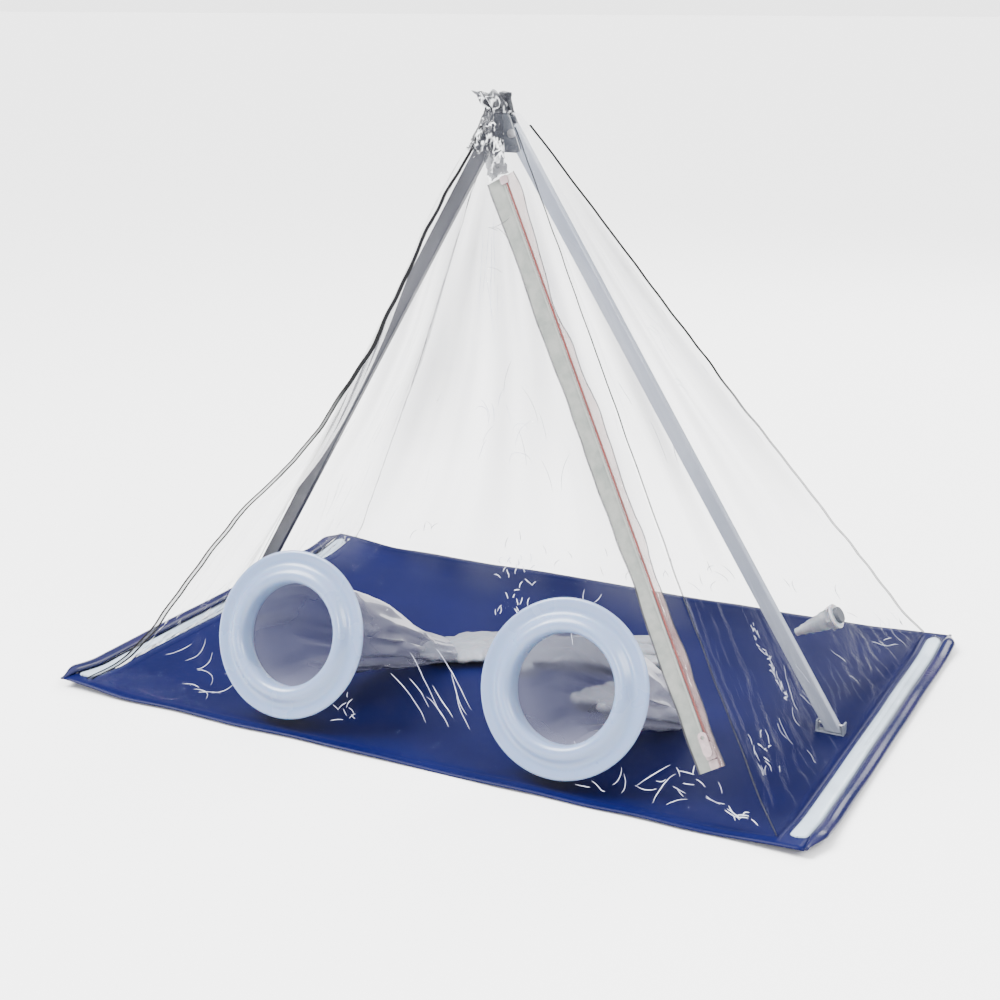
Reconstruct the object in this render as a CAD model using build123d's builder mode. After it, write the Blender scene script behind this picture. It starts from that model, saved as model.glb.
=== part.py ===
# Clear pyramid glove bag: a base mat, a film tent on an A-frame, two glove ports, a zip and a gas port.
from build123d import *
from math import atan2, cos, hypot, sin
import os

os.makedirs("parts", exist_ok=True)

# Base mat, its rolled end hems and the stiffening battens (mm, +Z up, origin at the middle of the base)
mat_length = 800.0
mat_depth = 540.0
mat_thickness = 1.2
hem_width = 6.0
hem_height = 5.0
batten_width = 18.0
batten_length = 506.0
batten_thickness = 2.5
batten_x = 382.5
batten_chamfer = 0.5
sleeve_wall = 0.5
sleeve_margin = 1.5
sleeve_taper = 15.0
pocket_gap = 0.3
sleeve_length = 510.0

# Film tent: a four-sided pyramid that leans slightly towards its front
seam_half_x = 368.0
seam_half_y = 262.0
band_thickness = 0.6
band_outside = 2.0
band_inside = 5.0
film_inset = 0.7
tent_top_z = 578.0
tent_top_y = -42.0
tent_top_half_x = 12.0
tent_top_half_y = 10.0
body_gap = 0.5
seam_z = mat_thickness + band_thickness

# Slopes of the front and side walls, as run over rise
front_run = seam_half_y + tent_top_y - tent_top_half_y
side_run = seam_half_x - tent_top_half_x
tent_rise = tent_top_z - seam_z
front_slope = atan2(front_run, tent_rise)
side_slope = atan2(side_run, tent_rise)
front_length = hypot(front_run, tent_rise)

# Glove ports, measured from the middle of each ring
port_places = {"left": -136.0, "right": 156.0}
port_up = 94.0
port_radius = 82.0
port_bore = 50.0
spigot_radius = 52.5
film_hole = 54.0
flange_thickness = 2.6
gasket_thickness = 0.8
groove_radius = 67.5
groove_width = 4.0
groove_depth = 1.2
lip_radius = 65.0
lip_height = 10.0
lip_round = 6.5
clamp_radius = 62.0
clamp_thickness = 4.0
spigot_depth = 13.0
cuff_gap = 0.35
cuff_thickness = 0.7
cuff_band_width = 4.0
cuff_band_thickness = 2.0

# Gloves: a hollow sleeve from each ring down to a flat hand on the mat
glove_wall = 1.0
glove_end = 10.0
wrist_radius = 20.0
palm_radius = 36.0
fingertip_radius = 24.0
palm_thickness = 10.0
glove_floor = 2.4
glove_lie = {  # wrist, palm and fingertips, where each glove lies on the mat
    "left": ((-100.0, -56.0, 24.0), (-40.0, 12.0), (122.0, 62.0)),
    "right": ((204.0, -88.0, 24.0), (176.0, -44.0), (124.0, -66.0)),
}

# A-frame of two flat rods, a riveted hub and two shoes
rod_width = 14.0
rod_thickness = 8.0
foot_x = 345.0
foot_y = -22.0
foot_z = 10.0
rod_cut = 6.0
rod_tail = 6.0
rod_top_x = 12.0
rod_top_z = 560.0
hub_plate = 3.0
hub_width = 46.0
hub_height = 36.0
rivet_radius = 2.4
rivet_head_radius = 4.2
rivet_head = 1.2
hub_corner = 5.0
hub_side_angle = 68.0
tuft_gap = 0.4
tuft_height = 12.5
tuft_foot = (22.0, 16.0)
tuft_top = (9.0, 6.0)
shoe_wall = 1.6
shoe_side_gap = 0.5
shoe_depth = 10.0
shoe_top = 13.0
shoe_sole = 0.9
shoe_lift = 0.35
pin_radius = 1.5
pin_gap = 0.3

# Zip on the front wall, parallel to its right-hand edge
zip_inset = 27.0
zip_start = 76.0
zip_length = 579.0
tape_width = 15.0
margin_width = 8.0
tape_thickness = 0.6
profile_width = 2.0
profile_height = 1.6
profile_gap = 0.6
profile_round = 0.6
stop_length = 8.0
slider_length = 15.0
slider_wall = 1.6
slider_gap = 0.5
slider_corner = 2.0
stop_margin = 3.0
stop_corner = 1.5
stop_rise = 1.0
pull_length = 22.0
pull_width = 8.0
pull_thickness = 1.6
pull_hole = 1.8
pull_overlap = 5.0
nub_length = 6.0
nub_width = 3.0
nub_height = 2.4

# Gas port on the right-hand wall
gas_y = 72.0
gas_z = 84.0
gas_hole = 8.0
gas_flange_radius = 13.0
gas_flange_thickness = 2.5
gas_bore = 3.0
gas_steps = 5
gas_step_length = 8.0
gas_tip_radius = 4.2
gas_root_radius = 10.0
gas_rib = 0.6
gas_rib_width = 2.0
nut_thickness = 4.0
port_gap = 0.4
plug_radius = 8.5
plug_head = 4.0
plug_stem = 16.0


def save(piece, name):
    piece.part.label = name
    export_step(piece.part, f"parts/{name}.step")


# Working planes: the front wall's outer face, the A-frame's plane and the zip's line
front_normal = (0, -cos(front_slope), sin(front_slope))
side_normal = (cos(side_slope), 0, sin(side_slope))
front_wall = Plane(origin=(0, -seam_half_y, seam_z), x_dir=(1, 0, 0), z_dir=front_normal)

hub_rise = rod_top_z - foot_z
frame_lean = atan2(foot_y - tent_top_y, hub_rise)
frame_plane = Plane(
    origin=(0, foot_y, foot_z), x_dir=(1, 0, 0), z_dir=(0, -cos(frame_lean), -sin(frame_lean))
)

pin_side = Plane(origin=(0, foot_y, foot_z), x_dir=(0, 1, 0), z_dir=(1, 0, 0))

edge_angle = atan2(front_length, -side_run)
edge_along = Vector(cos(edge_angle), sin(edge_angle))
edge_inward = Vector(-sin(edge_angle), cos(edge_angle))
zip_foot = Vector(seam_half_x, 0) + edge_along * zip_start + edge_inward * zip_inset
zip_plane = Plane(
    origin=front_wall.from_local_coords(zip_foot),
    x_dir=front_wall.from_local_coords(zip_foot + edge_along) - front_wall.from_local_coords(zip_foot),
    z_dir=front_normal,
)

gas_x = seam_half_x - (gas_z - seam_z) * side_run / tent_rise
gas_plane = Plane(origin=(gas_x, gas_y, gas_z), x_dir=(0, 1, 0), z_dir=side_normal)


# Base mat
with BuildPart() as base_mat:
    with BuildSketch():
        Rectangle(mat_length - 2 * hem_width, mat_depth)
    extrude(amount=mat_thickness)
save(base_mat, "base_mat")

# Rolled hems, battens and the clear sleeves that hold the battens, one set at each end
for side, sign in (("left", -1), ("right", 1)):
    hem_x = sign * (mat_length / 2 - hem_width)
    with BuildPart() as hem:
        with BuildSketch(Plane.XZ):
            with BuildLine():
                Polyline((hem_x, hem_height), (hem_x, 0), (hem_x + sign * hem_height / 2, 0))
                ThreePointArc(
                    (hem_x + sign * hem_height / 2, 0),
                    (hem_x + sign * hem_width, hem_height / 2),
                    (hem_x + sign * hem_height / 2, hem_height),
                )
                Line((hem_x + sign * hem_height / 2, hem_height), (hem_x, hem_height))
            make_face()
        extrude(amount=mat_depth / 2, both=True)
    save(hem, f"{side}_hem")

    with BuildPart() as batten:
        with BuildSketch(Plane.XY.offset(mat_thickness)):
            with Locations((sign * batten_x, 0)):
                SlotOverall(batten_length, batten_width, rotation=90)
        extrude(amount=batten_thickness)
        chamfer(batten.faces().sort_by(Axis.Z)[-1].edges(), length=batten_chamfer)
    save(batten, f"{side}_batten")

    sleeve_height = batten_thickness + sleeve_wall
    with BuildPart() as sleeve:
        with BuildSketch(Plane.XY.offset(mat_thickness)):
            with Locations((sign * batten_x, 0)):
                SlotOverall(sleeve_length, batten_width + 2 * sleeve_margin, rotation=90)
        extrude(amount=sleeve_height, taper=sleeve_taper)
        with BuildSketch(Plane.XY.offset(mat_thickness)):
            with Locations((sign * batten_x, 0)):
                SlotOverall(batten_length + 2 * pocket_gap, batten_width + 2 * pocket_gap, rotation=90)
        extrude(amount=batten_thickness, mode=Mode.SUBTRACT)
    save(sleeve, f"{side}_batten_sleeve")

# Welded band where the film meets the mat
with BuildPart() as weld_band:
    with BuildSketch(Plane.XY.offset(mat_thickness)):
        Rectangle(2 * (seam_half_x + band_outside), 2 * (seam_half_y + band_outside))
        Rectangle(2 * (seam_half_x - band_inside), 2 * (seam_half_y - band_inside), mode=Mode.SUBTRACT)
    extrude(amount=band_thickness)
save(weld_band, "base_weld_band")


# Film walls: one shell of the pyramid, mitred at the corner edges
def corner_plane(x_sign, y_sign):
    low = Vector(x_sign * seam_half_x, y_sign * seam_half_y, seam_z)
    high = Vector(x_sign * tent_top_half_x, tent_top_y + y_sign * tent_top_half_y, tent_top_z)
    inward = Vector(-x_sign, -y_sign, 0)
    return Plane(origin=low, x_dir=high - low, z_dir=(high - low).cross(inward))


corners = {
    "front": ((-1, -1), (1, -1)),
    "right": ((1, -1), (1, 1)),
    "back": ((1, 1), (-1, 1)),
    "left": ((-1, 1), (-1, -1)),
}
inside = {"front": (0, -1, 0), "right": (1, 0, 0), "back": (0, 1, 0), "left": (-1, 0, 0)}
for side, ends in corners.items():
    gap = body_gap if side == "front" else 0.0
    with BuildPart() as wall:
        for inset, mode in ((0.0, Mode.ADD), (film_inset, Mode.SUBTRACT)):
            with BuildSketch(Plane.XY.offset(seam_z)):
                Rectangle(2 * (seam_half_x - inset), 2 * (seam_half_y - inset))
            with BuildSketch(Plane(origin=(0, tent_top_y, tent_top_z))):
                Rectangle(2 * (tent_top_half_x - inset), 2 * (tent_top_half_y - inset))
            loft(mode=mode)
        for end in ends:
            cut = corner_plane(*end)
            outwards = Vector(inside[side]).dot(cut.z_dir)
            trimmed = cut.offset(gap if outwards > 0 else -gap)
            split(bisect_by=trimmed, keep=Keep.TOP if outwards > 0 else Keep.BOTTOM)
        if side == "front":
            split(bisect_by=Plane.XY.offset(seam_z + body_gap), keep=Keep.TOP)
            with BuildSketch(front_wall.offset(1)):
                with Locations(*((x, port_up) for x in port_places.values())):
                    Circle(film_hole)
            extrude(amount=-4, mode=Mode.SUBTRACT)
        if side == "right":
            with BuildSketch(gas_plane.offset(1)):
                Circle(gas_hole)
            extrude(amount=-4, mode=Mode.SUBTRACT)
    save(wall, f"canopy_{side}")

# Glove ports: a ring outside, a gasket, the film, then a clamp and the glove's cuff band inside
film_thickness = film_inset * cos(front_slope)
for side, port_x in port_places.items():
    ring_centre = front_wall.from_local_coords((port_x, port_up, 0))
    ring_plane = Plane(origin=ring_centre, x_dir=(1, 0, 0), z_dir=front_normal)

    with BuildPart() as ring:
        with BuildSketch(ring_plane.offset(gasket_thickness)):
            Circle(port_radius)
            Circle(port_bore, mode=Mode.SUBTRACT)
        extrude(amount=flange_thickness)
        with BuildSketch(ring_plane.offset(gasket_thickness)):
            Circle(lip_radius)
            Circle(port_bore, mode=Mode.SUBTRACT)
        extrude(amount=lip_height)
        fillet(ring.faces().sort_by(Axis(ring_centre, front_normal))[-1].edges(), radius=lip_round)
        with BuildSketch(ring_plane.offset(gasket_thickness + flange_thickness)):
            Circle(groove_radius + groove_width / 2)
            Circle(groove_radius - groove_width / 2, mode=Mode.SUBTRACT)
        extrude(amount=-groove_depth, mode=Mode.SUBTRACT)
        with BuildSketch(ring_plane.offset(-spigot_depth)):
            Circle(spigot_radius)
            Circle(port_bore, mode=Mode.SUBTRACT)
        extrude(amount=spigot_depth + gasket_thickness + flange_thickness)
    save(ring, f"{side}_port_ring")

    with BuildPart() as gasket:
        with BuildSketch(ring_plane):
            Circle(clamp_radius)
            Circle(spigot_radius, mode=Mode.SUBTRACT)
        extrude(amount=gasket_thickness)
    save(gasket, f"{side}_port_gasket")

    with BuildPart() as clamp:
        with BuildSketch(ring_plane.offset(-film_thickness)):
            Circle(clamp_radius)
            Circle(spigot_radius, mode=Mode.SUBTRACT)
        extrude(amount=-clamp_thickness)
        fillet(clamp.edges().filter_by(GeomType.CIRCLE).sort_by(SortBy.RADIUS)[-2:], radius=1.0)
    save(clamp, f"{side}_port_clamp")

    cuff_start = film_thickness + clamp_thickness + 0.5
    cuff_length = spigot_depth - cuff_start
    band_radius = spigot_radius + 2 * cuff_gap + cuff_thickness
    with BuildPart() as cuff_band:
        with BuildSketch(ring_plane.offset(-cuff_start - (cuff_length - cuff_band_width) / 2)):
            Circle(band_radius + cuff_band_thickness)
            Circle(band_radius, mode=Mode.SUBTRACT)
        extrude(amount=-cuff_band_width)
        fillet(cuff_band.edges().filter_by(GeomType.CIRCLE).sort_by(SortBy.RADIUS)[-2:], radius=0.8)
    save(cuff_band, f"{side}_cuff_band")

    wrist, palm, fingertips = glove_lie[side]
    cuff_radius = spigot_radius + cuff_gap + cuff_thickness
    mouth = ring_plane.offset(-spigot_depth - cuff_gap)
    wrist_plane = Plane(origin=wrist, x_dir=(1, 0, 0), z_dir=Vector(*wrist) - mouth.origin)
    with BuildPart() as glove:
        with BuildSketch(mouth):
            Circle(cuff_radius)
        with BuildSketch(wrist_plane):
            Circle(wrist_radius)
        loft()
        with BuildSketch(mouth):
            Circle(cuff_radius - glove_wall)
        with BuildSketch(wrist_plane.offset(-glove_end)):
            Circle(wrist_radius)
        loft(mode=Mode.SUBTRACT)
        with BuildSketch(ring_plane.offset(-cuff_start)):
            Circle(cuff_radius)
            Circle(spigot_radius + cuff_gap, mode=Mode.SUBTRACT)
        extrude(amount=-cuff_length - cuff_gap)
        with BuildSketch(Plane.XY.offset(glove_floor)):
            with Locations((wrist[0], wrist[1])):
                Circle(wrist_radius - 2)
            with Locations(palm):
                Circle(palm_radius)
            with Locations(fingertips):
                Circle(fingertip_radius)
            make_hull()
        extrude(amount=palm_thickness)
    save(glove, f"{side}_glove")

# Zip: a matte tape and a clear margin welded to the film, two press-in profiles and a stop at each end
tape_offset = (profile_width + profile_gap) / 2
with BuildPart() as zip_tape:
    with BuildSketch(zip_plane):
        with Locations((zip_length / 2, tape_width / 2)):
            Rectangle(zip_length, tape_width)
    extrude(amount=tape_thickness)
save(zip_tape, "zip_tape")

with BuildPart() as zip_margin:
    with BuildSketch(zip_plane):
        with Locations((zip_length / 2, -margin_width / 2)):
            Rectangle(zip_length, margin_width)
    extrude(amount=tape_thickness)
save(zip_margin, "zip_margin")

profile_run = zip_length - 2 * stop_length
for name, sign in (("zip_grey_profile", 1), ("zip_red_profile", -1)):
    with BuildPart() as profile:
        with BuildSketch(zip_plane.offset(tape_thickness)):
            with Locations((zip_length / 2, sign * tape_offset)):
                Rectangle(profile_run, profile_width)
        extrude(amount=profile_height)
        fillet(profile.faces().sort_by(Axis((0, 0, 0), front_normal))[-1].edges(), radius=profile_round)
    save(profile, name)

stop_width = 2 * profile_width + profile_gap + stop_margin
for name, along in (("zip_bottom_stop", stop_length / 2), ("zip_top_stop", zip_length - stop_length / 2)):
    with BuildPart() as stop:
        with BuildSketch(zip_plane.offset(tape_thickness)):
            with Locations((along, 0)):
                RectangleRounded(stop_length, stop_width, radius=stop_corner)
        extrude(amount=profile_height + stop_rise)
    save(stop, name)

# Zip slider: a saddle over both profiles, with a pull tab hanging down the wall
slider_inner = 2 * profile_width + profile_gap + 2 * slider_gap
slider_floor = tape_thickness + slider_gap
slider_roof = tape_thickness + profile_height + slider_gap
slider_start = stop_length + body_gap
slider_middle = slider_start + slider_length / 2
with BuildPart() as zip_slider:
    with BuildSketch(zip_plane.offset(slider_floor)):
        with Locations((slider_middle, 0)):
            RectangleRounded(slider_length, slider_inner + 2 * slider_wall, radius=slider_corner)
    extrude(amount=slider_roof - slider_floor + slider_wall)
    with BuildSketch(zip_plane.offset(slider_floor)):
        with Locations((slider_middle, 0)):
            Rectangle(2 * slider_length, slider_inner)
    extrude(amount=slider_roof - slider_floor, mode=Mode.SUBTRACT)
    with BuildSketch(zip_plane.offset(slider_roof + slider_wall)):
        with Locations((slider_middle, 0)):
            Rectangle(nub_length, nub_width)
    extrude(amount=nub_height)
save(zip_slider, "zip_slider")

with BuildPart() as zip_pull:
    with BuildSketch(zip_plane.offset(slider_roof + slider_wall + nub_height)):
        with Locations((slider_middle + pull_length / 2 - pull_overlap, 0)):
            SlotOverall(pull_length, pull_width)
        with Locations((slider_middle + pull_length - 2 * pull_overlap, 0)):
            Circle(pull_hole, mode=Mode.SUBTRACT)
    extrude(amount=pull_thickness)
save(zip_pull, "zip_pull")

# A-frame rods, each cut level at its foot
rod_angle = atan2(hub_rise, foot_x - rod_top_x)
half_across = rod_width / 2 / sin(rod_angle)
for side, sign in (("left", -1), ("right", 1)):
    top_x = rod_top_x - rod_tail * cos(rod_angle)
    top_y = hub_rise + rod_tail * sin(rod_angle)
    square_x = rod_width / 2 * sin(rod_angle)
    square_y = rod_width / 2 * cos(rod_angle)
    low_x = foot_x + rod_cut / (sin(rod_angle) / cos(rod_angle))
    with BuildPart() as rod:
        with BuildSketch(frame_plane):
            with BuildLine():
                Polyline(
                    (sign * (low_x - half_across), -rod_cut),
                    (sign * (low_x + half_across), -rod_cut),
                    (sign * (top_x + square_x), top_y + square_y),
                    (sign * (top_x - square_x), top_y - square_y),
                    close=True,
                )
            make_face()
        extrude(amount=rod_thickness / 2, both=True)
        with BuildSketch(pin_side.offset(sign * foot_x)):
            Circle(pin_radius + pin_gap)
        extrude(amount=3 * half_across, both=True, mode=Mode.SUBTRACT)
        with BuildSketch(frame_plane):
            with Locations((sign * rod_top_x, hub_rise)):
                Circle(rivet_radius)
        extrude(amount=rod_thickness, both=True, mode=Mode.SUBTRACT)
        chamfer(rod.edges().filter_by(Axis(
            origin=(0, 0, 0),
            direction=frame_plane.x_dir * (-sign * cos(rod_angle)) + frame_plane.y_dir * sin(rod_angle),
        )), length=0.8)
    save(rod, f"{side}_rod")

# Hub: two plates with the rods riveted between them
for name, offset in (("hub_front_plate", rod_thickness / 2), ("hub_back_plate", -rod_thickness / 2 - hub_plate)):
    with BuildPart() as plate:
        with BuildSketch(frame_plane.offset(offset)) as outline:
            with Locations((0, hub_rise)):
                Trapezoid(hub_width, hub_height, hub_side_angle)
            fillet(outline.vertices(), radius=hub_corner)
            with Locations((-rod_top_x, hub_rise), (rod_top_x, hub_rise)):
                Circle(rivet_radius, mode=Mode.SUBTRACT)
        extrude(amount=hub_plate)
    save(plate, name)

hub_half = rod_thickness / 2 + hub_plate
with BuildPart() as hub_rivets:
    with BuildSketch(frame_plane):
        with Locations((-rod_top_x, hub_rise), (rod_top_x, hub_rise)):
            Circle(rivet_radius)
    extrude(amount=hub_half, both=True)
    for offset in (hub_half, -hub_half - rivet_head):
        with BuildSketch(frame_plane.offset(offset)):
            with Locations((-rod_top_x, hub_rise), (rod_top_x, hub_rise)):
                Circle(rivet_head_radius)
        extrude(amount=rivet_head)
save(hub_rivets, "hub_rivets")

# Gathered film that caps the hub
hub_top = frame_plane.from_local_coords((0, hub_rise + hub_height / 2 + tuft_gap, 0))
with BuildPart() as tuft:
    with BuildSketch(Plane(origin=hub_top)):
        Rectangle(*tuft_foot)
    with BuildSketch(Plane(origin=hub_top + Vector(0, 0, tuft_height))):
        Rectangle(*tuft_top)
    loft()
save(tuft, "apex_tuft")

# Shoes that the rods' feet turn in, and their pins
sole_z = mat_thickness + shoe_lift
shoe_reach = half_across + rod_cut * (foot_x - rod_top_x) / hub_rise + shoe_side_gap
for side, sign in (("left", -1), ("right", 1)):
    with BuildPart() as shoe:
        with BuildSketch(Plane.XZ.offset(-foot_y)):
            with Locations((sign * foot_x, (sole_z + shoe_top) / 2)):
                Rectangle(2 * (shoe_reach + shoe_wall), shoe_top - sole_z)
            with Locations((sign * foot_x, (sole_z + shoe_sole + shoe_top) / 2 + 1)):
                Rectangle(2 * shoe_reach, shoe_top - sole_z - shoe_sole + 2, mode=Mode.SUBTRACT)
        extrude(amount=shoe_depth / 2, both=True)
        with BuildSketch(pin_side.offset(sign * foot_x)):
            Circle(pin_radius)
        extrude(amount=shoe_reach + 2 * shoe_wall, both=True, mode=Mode.SUBTRACT)
    save(shoe, f"{side}_foot_shoe")

    with BuildPart() as pin:
        with BuildSketch(pin_side.offset(sign * foot_x)):
            Circle(pin_radius)
        extrude(amount=shoe_reach + shoe_wall, both=True)
    save(pin, f"{side}_foot_pin")

# Gas port: a flange outside, a nut and a stepped nozzle inside, and a pull-out plug
spigot_end = -(film_inset + port_gap + nut_thickness)
with BuildPart() as gas_flange:
    with BuildSketch(gas_plane.offset(port_gap)):
        Circle(gas_flange_radius)
    extrude(amount=gas_flange_thickness)
    fillet(gas_flange.faces().sort_by(Axis(gas_plane.origin, side_normal))[-1].edges(), radius=1.0)
    with BuildSketch(gas_plane.offset(spigot_end)):
        Circle(gas_hole - port_gap)
    extrude(amount=port_gap - spigot_end)
    with BuildSketch(gas_plane.offset(spigot_end)):
        Circle(gas_bore)
    extrude(amount=gas_flange_thickness + port_gap - spigot_end, mode=Mode.SUBTRACT)
save(gas_flange, "gas_flange")

with BuildPart() as gas_nut:
    with BuildSketch(gas_plane.offset(spigot_end)):
        RegularPolygon(gas_flange_radius, 6)
        Circle(gas_hole - port_gap, mode=Mode.SUBTRACT)
    extrude(amount=nut_thickness)
save(gas_nut, "gas_nut")

with BuildPart() as gas_nozzle:
    for step in range(gas_steps):
        fade = step / (gas_steps - 1)
        radius = gas_root_radius + (gas_tip_radius - gas_root_radius) * fade
        with BuildSketch(gas_plane.offset(spigot_end - step * gas_step_length)):
            Circle(radius)
        extrude(amount=-gas_step_length)
        with BuildSketch(gas_plane.offset(spigot_end - step * gas_step_length)):
            Circle(radius + gas_rib)
        extrude(amount=-gas_rib_width)
    with BuildSketch(gas_plane.offset(spigot_end)):
        Circle(gas_bore)
    extrude(amount=-gas_steps * gas_step_length, mode=Mode.SUBTRACT)
save(gas_nozzle, "gas_nozzle")

plug_seat = 2 * port_gap + gas_flange_thickness
with BuildPart() as gas_plug:
    with BuildSketch(gas_plane.offset(plug_seat)):
        Circle(plug_radius)
    extrude(amount=plug_head)
    fillet(gas_plug.faces().sort_by(Axis(gas_plane.origin, side_normal))[-1].edges(), radius=1.2)
    with BuildSketch(gas_plane.offset(plug_seat)):
        Circle(gas_bore - port_gap)
    extrude(amount=-plug_stem)
save(gas_plug, "gas_plug")
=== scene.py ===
import random
from math import atan2, cos, exp, hypot, pi, radians, sin

import bmesh
import bpy
from mathutils import Matrix, Vector, noise


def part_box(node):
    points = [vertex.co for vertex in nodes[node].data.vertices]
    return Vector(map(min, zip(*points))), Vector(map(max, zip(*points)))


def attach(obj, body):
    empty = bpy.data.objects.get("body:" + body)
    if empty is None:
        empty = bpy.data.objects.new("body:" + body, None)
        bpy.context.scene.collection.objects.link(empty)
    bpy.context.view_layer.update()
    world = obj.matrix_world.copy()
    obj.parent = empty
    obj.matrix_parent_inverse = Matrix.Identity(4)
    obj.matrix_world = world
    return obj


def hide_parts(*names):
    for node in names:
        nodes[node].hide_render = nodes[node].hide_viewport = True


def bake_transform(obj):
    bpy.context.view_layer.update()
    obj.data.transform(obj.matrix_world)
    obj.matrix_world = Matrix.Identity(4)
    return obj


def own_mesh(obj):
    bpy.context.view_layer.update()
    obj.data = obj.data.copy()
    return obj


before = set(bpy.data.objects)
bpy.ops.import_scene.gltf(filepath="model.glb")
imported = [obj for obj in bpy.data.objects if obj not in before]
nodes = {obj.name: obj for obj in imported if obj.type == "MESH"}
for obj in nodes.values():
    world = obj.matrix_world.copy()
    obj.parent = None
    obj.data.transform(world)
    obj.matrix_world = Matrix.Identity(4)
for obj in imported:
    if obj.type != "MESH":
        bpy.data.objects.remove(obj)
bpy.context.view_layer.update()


# small helpers

def clamp(x, low=0.0, high=1.0):
    return max(low, min(high, x))


def ramp(start, end, x):
    t = clamp((x - start) / (end - start))
    return t * t * (3 - 2 * t)


def rough(x, y, z=0.0):  # smooth noise, about -1 to 1
    return noise.noise(Vector((x, y, z))) * 1.6


def ridge(x, y, z=0.0):  # sharp folds, 0 in the valleys and 1 on the ridge
    return 1 - min(1.0, abs(noise.noise(Vector((x, y, z)))) * 4)


def addPiece(name, points, faces, material, body=None, slot=None, replaces=(), smooth=True):
    mesh = bpy.data.meshes.new(name)
    mesh.from_pydata([tuple(p) for p in points], [], faces)
    mesh.update()
    if smooth:
        mesh.polygons.foreach_set("use_smooth", [True] * len(mesh.polygons))
    piece = bpy.data.objects.new(name, mesh)
    bpy.context.collection.objects.link(piece)
    mesh.materials.append(material)
    if replaces:
        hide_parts(*replaces)
    if body:
        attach(piece, body)
    return piece


def addGrid(name, across, up, place, material, keepFace=None, wrap=False, **more):
    points = [place(i / across, j / up) for j in range(up + 1) for i in range(across + 1)]
    row = across + 1
    faces, kept = [], []
    for j in range(up):
        for i in range(across):
            if keepFace is None or keepFace((i + 0.5) / across, (j + 0.5) / up):
                faces.append((j * row + i, j * row + i + 1, (j + 1) * row + i + 1, (j + 1) * row + i))
                kept.append((i, j))
    piece = addPiece(name, points, faces, material, **more)
    layer = piece.data.uv_layers.new(name="alongFold")
    steps = ((0, 0), (1, 0), (1, 1), (0, 1))
    for n, (i, j) in enumerate(kept):
        for k, (di, dj) in enumerate(steps):
            layer.data[n * 4 + k].uv = ((i + di) / across, (j + dj) / up)
    return piece


def sheetArea(piece):
    return sum(face.area for face in piece.data.polygons)


# shader helpers

def newMaterial(name):
    material = bpy.data.materials.new(name)
    material.use_nodes = True
    tree = material.node_tree
    return material, tree, tree.nodes["Principled BSDF"], tree.nodes["Material Output"]


def addNode(tree, kind, **settings):
    made = tree.nodes.new(kind)
    for name, value in settings.items():
        setattr(made, name, value)
    return made


def wire(tree, source, target):
    tree.links.new(source, target)


def setValues(made, **values):
    for name, value in values.items():
        made.inputs[name.replace("_", " ")].default_value = value


def addMath(tree, operation, first, second=None, clampIt=False):
    made = addNode(tree, "ShaderNodeMath", operation=operation, use_clamp=clampIt)
    for socket, value in zip(made.inputs, (first, second)):
        if value is None:
            continue
        if isinstance(value, (int, float)):
            socket.default_value = value
        else:
            wire(tree, value, socket)
    return made.outputs[0]


def addRange(tree, value, low, high, toLow=0.0, toHigh=1.0):
    made = addNode(tree, "ShaderNodeMapRange")
    wire(tree, value, made.inputs["Value"])
    setValues(made, From_Min=low, From_Max=high, To_Min=toLow, To_Max=toHigh)
    return made.outputs["Result"]


def newGroup(name, inputs, outputs):
    group = bpy.data.node_groups.new(name, "ShaderNodeTree")
    for label, kind, value in inputs:
        socket = group.interface.new_socket(name=label, in_out="INPUT", socket_type=kind)
        if value is not None:
            socket.default_value = value
    for label, kind in outputs:
        group.interface.new_socket(name=label, in_out="OUTPUT", socket_type=kind)
    return group, addNode(group, "NodeGroupInput"), addNode(group, "NodeGroupOutput")


def buildFilmGroup():
    group, start, end = newGroup(
        "filmCreases",
        [("Vector", "NodeSocketVector", None), ("Scale", "NodeSocketFloat", 1.0),
         ("Line Width", "NodeSocketFloat", 0.02), ("Amount", "NodeSocketFloat", 0.5)],
        [("Glint", "NodeSocketFloat"), ("Haze And Sheen", "NodeSocketFloat"), ("Height", "NodeSocketFloat")],
    )
    lines = addNode(group, "ShaderNodeTexNoise")
    setValues(lines, Detail=2.0, Roughness=0.45, Distortion=0.7)
    wire(group, start.outputs["Vector"], lines.inputs["Vector"])
    wire(group, start.outputs["Scale"], lines.inputs["Scale"])
    offCentre = addMath(group, "ABSOLUTE", addMath(group, "SUBTRACT", lines.outputs["Fac"], 0.5))
    line = addMath(group, "SUBTRACT", 1.0, addMath(group, "DIVIDE", offCentre, start.outputs["Line Width"]), True)
    breaks = addNode(group, "ShaderNodeTexNoise")
    setValues(breaks, Detail=3.0, Roughness=0.6)
    wire(group, start.outputs["Vector"], breaks.inputs["Vector"])
    wire(group, addMath(group, "MULTIPLY", start.outputs["Scale"], 0.8), breaks.inputs["Scale"])
    limit = addMath(group, "SUBTRACT", 0.78, addMath(group, "MULTIPLY", start.outputs["Amount"], 0.4))
    over = addMath(group, "SUBTRACT", breaks.outputs["Fac"], limit)
    shown = addMath(group, "MULTIPLY", over, 18.0, True)
    # the glint mask: painted highlights along the crease lines
    glint = addMath(group, "MULTIPLY", addMath(group, "POWER", line, 0.6), shown, True)
    # the clouds make the Haze And Sheen mask: partly the film's own haze, partly painted reflection
    clouds = addNode(group, "ShaderNodeTexNoise")
    setValues(clouds, Detail=1.5, Roughness=0.5, Distortion=0.3)
    wire(group, start.outputs["Vector"], clouds.inputs["Vector"])
    wire(group, addMath(group, "MULTIPLY", start.outputs["Scale"], 0.35), clouds.inputs["Scale"])
    wire(group, glint, end.inputs["Glint"])
    wire(group, addRange(group, clouds.outputs["Fac"], 0.43, 0.68), end.inputs["Haze And Sheen"])
    wire(group, lines.outputs["Fac"], end.inputs["Height"])
    return group


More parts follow.
